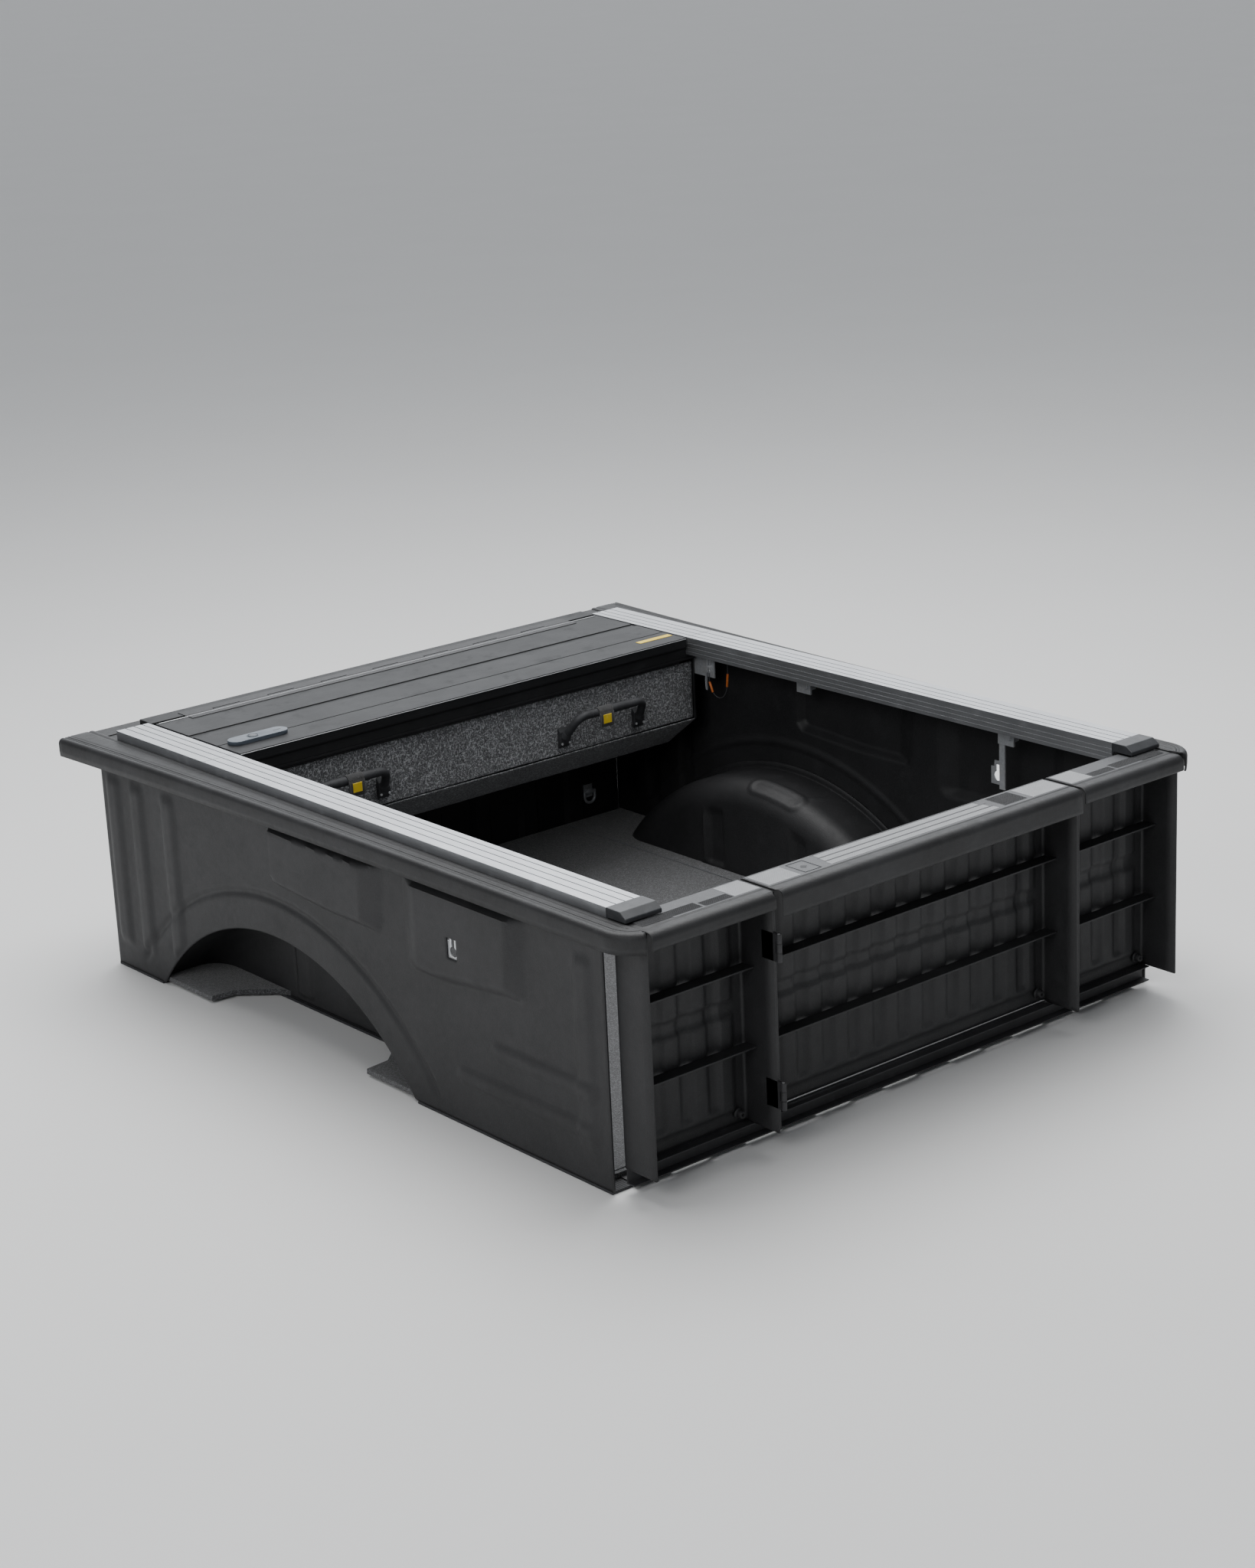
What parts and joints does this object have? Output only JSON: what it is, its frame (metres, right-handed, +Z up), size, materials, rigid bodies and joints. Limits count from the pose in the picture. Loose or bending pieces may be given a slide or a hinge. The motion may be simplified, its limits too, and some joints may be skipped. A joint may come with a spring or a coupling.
{
  "type": "truck bed liner",
  "caption": "Pickup bed lining with floor mat, moulded walls and caps, clamped rails, a hung storage box with a lift-up door and lid, and a hinged tailgate lining with a swing door.",
  "frame": {"origin": "middle of the lining's flat underside, where it rests on the truck's bed floor", "axes": "+X to the truck's right, +Y forward to the cab, +Z up; the tailgate lining is at -Y"},
  "size_m": [1.756, 2.08, 0.613],
  "materials": {
    "liner_black": "moulded polyethylene, fine pebble grain, satin black",
    "underlay_black": "ribbed polyethylene sheet, matt",
    "mat_carpet": "charcoal heathered needle-punch carpet",
    "box_carpet": "dark grey carpet speckled with lighter grey fibres",
    "cap_black": "moulded cap, leather-grain texture",
    "gate_cap_grey": "moulded cap top, dark grey with knurled pads",
    "rail_aluminium": "grey anodised extrusion, satin",
    "end_cap_black": "glass-filled nylon, satin",
    "zinc_plate": "bright zinc-plated steel",
    "hinge_steel": "black powder coat",
    "pin_steel": "plain bright steel",
    "box_black": "black powder-coated sheet, fine texture",
    "lid_black": "black anodised panel, satin",
    "board_black": "black-stained plywood",
    "handle_rubber": "dark grey rubber over-mould",
    "strap_webbing": "black hook-and-loop strap",
    "latch_grey": "grey-blue satin plastic",
    "button_dark": "dark grey satin plastic",
    "cable_grey": "coated wire rope",
    "ferrule_orange": "orange sleeve",
    "tag_grey": "grey webbing"
  },
  "bodies": {
    "liner": {"floor_underlay": "underlay_black", "floor_mat": "mat_carpet", "bulkhead_liner": "liner_black", "side_liner_left": "liner_black", "side_liner_right": "liner_black", "wheelhouse_cover_left": "liner_black", "wheelhouse_cover_right": "liner_black", "bedside_cap_left": "cap_black", "bedside_cap_right": "cap_black", "bulkhead_cap": "cap_black", "side_rail_left": "rail_aluminium", "side_rail_right": "rail_aluminium", "rail_end_caps": "end_cap_black", "clamp_plates": "zinc_plate", "clamp_jaws": "zinc_plate", "clamp_bolts": "zinc_plate", "tie_down_plates": "zinc_plate", "liner_screws": "zinc_plate", "ring_brackets": "zinc_plate", "gap_hinge_floor_leaf": "hinge_steel", "gap_hinge_pin": "pin_steel", "box_tray": "box_black", "box_tray_carpet": "box_carpet", "box_end_left": "box_black", "box_end_right": "box_black", "box_header_rail": "box_black", "box_deck": "lid_black", "box_hinge_fixed_leaf": "hinge_steel", "lid_hinge_fixed_leaf": "hinge_steel", "box_hinge_pins": "pin_steel", "box_mount_brackets": "zinc_plate", "rail_lugs": "zinc_plate", "release_pins": "pin_steel", "hairpin_clips": "pin_steel", "lanyard_left": "cable_grey", "lanyard_right": "cable_grey", "lanyard_ferrules": "ferrule_orange", "pull_tags": "tag_grey"},
    "box_door": {"door_board": "board_black", "door_carpet": "box_carpet", "box_hinge_door_leaf": "hinge_steel", "handle_left": "handle_rubber", "handle_right": "handle_rubber", "handle_screws": "pin_steel", "straps": "strap_webbing"},
    "box_lid": {"lid_panel": "lid_black", "lid_hinge_leaf": "hinge_steel", "latch_base": "latch_grey"},
    "latch_button": {"latch_button": "button_dark"},
    "tailgate": {"tailgate_panels": "liner_black", "tailgate_sill": "hinge_steel", "tailgate_caps": "gate_cap_grey", "gap_hinge_gate_leaf": "hinge_steel", "swing_hinge_wing_leaves": "hinge_steel", "swing_hinge_pins": "pin_steel"},
    "tailgate_door": {"tailgate_door_panel": "liner_black", "tailgate_door_cap": "gate_cap_grey", "swing_hinge_door_leaves": "hinge_steel"},
    "ring_left": {"tie_ring_left": "zinc_plate"},
    "ring_right": {"tie_ring_right": "zinc_plate"}
  },
  "joints": [
    {"name": "tailgate_drop", "type": "hinge", "parent": "liner", "child": "tailgate", "pos_m": [0, -0.9145, 0.013], "axis": [1, 0, 0], "range_deg": [0, 90]},
    {"name": "tailgate_door_swing", "type": "hinge", "parent": "tailgate", "child": "tailgate_door", "pos_m": [-0.45, -1.034, 0.3], "axis": [0, 0, -1], "range_deg": [0, 100]},
    {"name": "box_door_swing", "type": "hinge", "parent": "liner", "child": "box_door", "pos_m": [0, 0.562, 0.534], "axis": [-1, 0, 0], "range_deg": [0, 95]},
    {"name": "box_lid_lift", "type": "hinge", "parent": "liner", "child": "box_lid", "pos_m": [0, 0.914, 0.601], "axis": [-1, 0, 0], "range_deg": [0, 80]},
    {"name": "latch_press", "type": "slide", "parent": "box_lid", "child": "latch_button", "axis": [0, 0, -1], "range_m": [0, 0.0025], "stiffness_N_per_m": 400},
    {"name": "left_ring_swing", "type": "hinge", "parent": "liner", "child": "ring_left", "pos_m": [-0.69, 0.974, 0.092], "axis": [-1, 0, 0], "range_deg": [0, 110]},
    {"name": "right_ring_swing", "type": "hinge", "parent": "liner", "child": "ring_right", "pos_m": [0.69, 0.974, 0.092], "axis": [-1, 0, 0], "range_deg": [0, 110]}
  ]
}
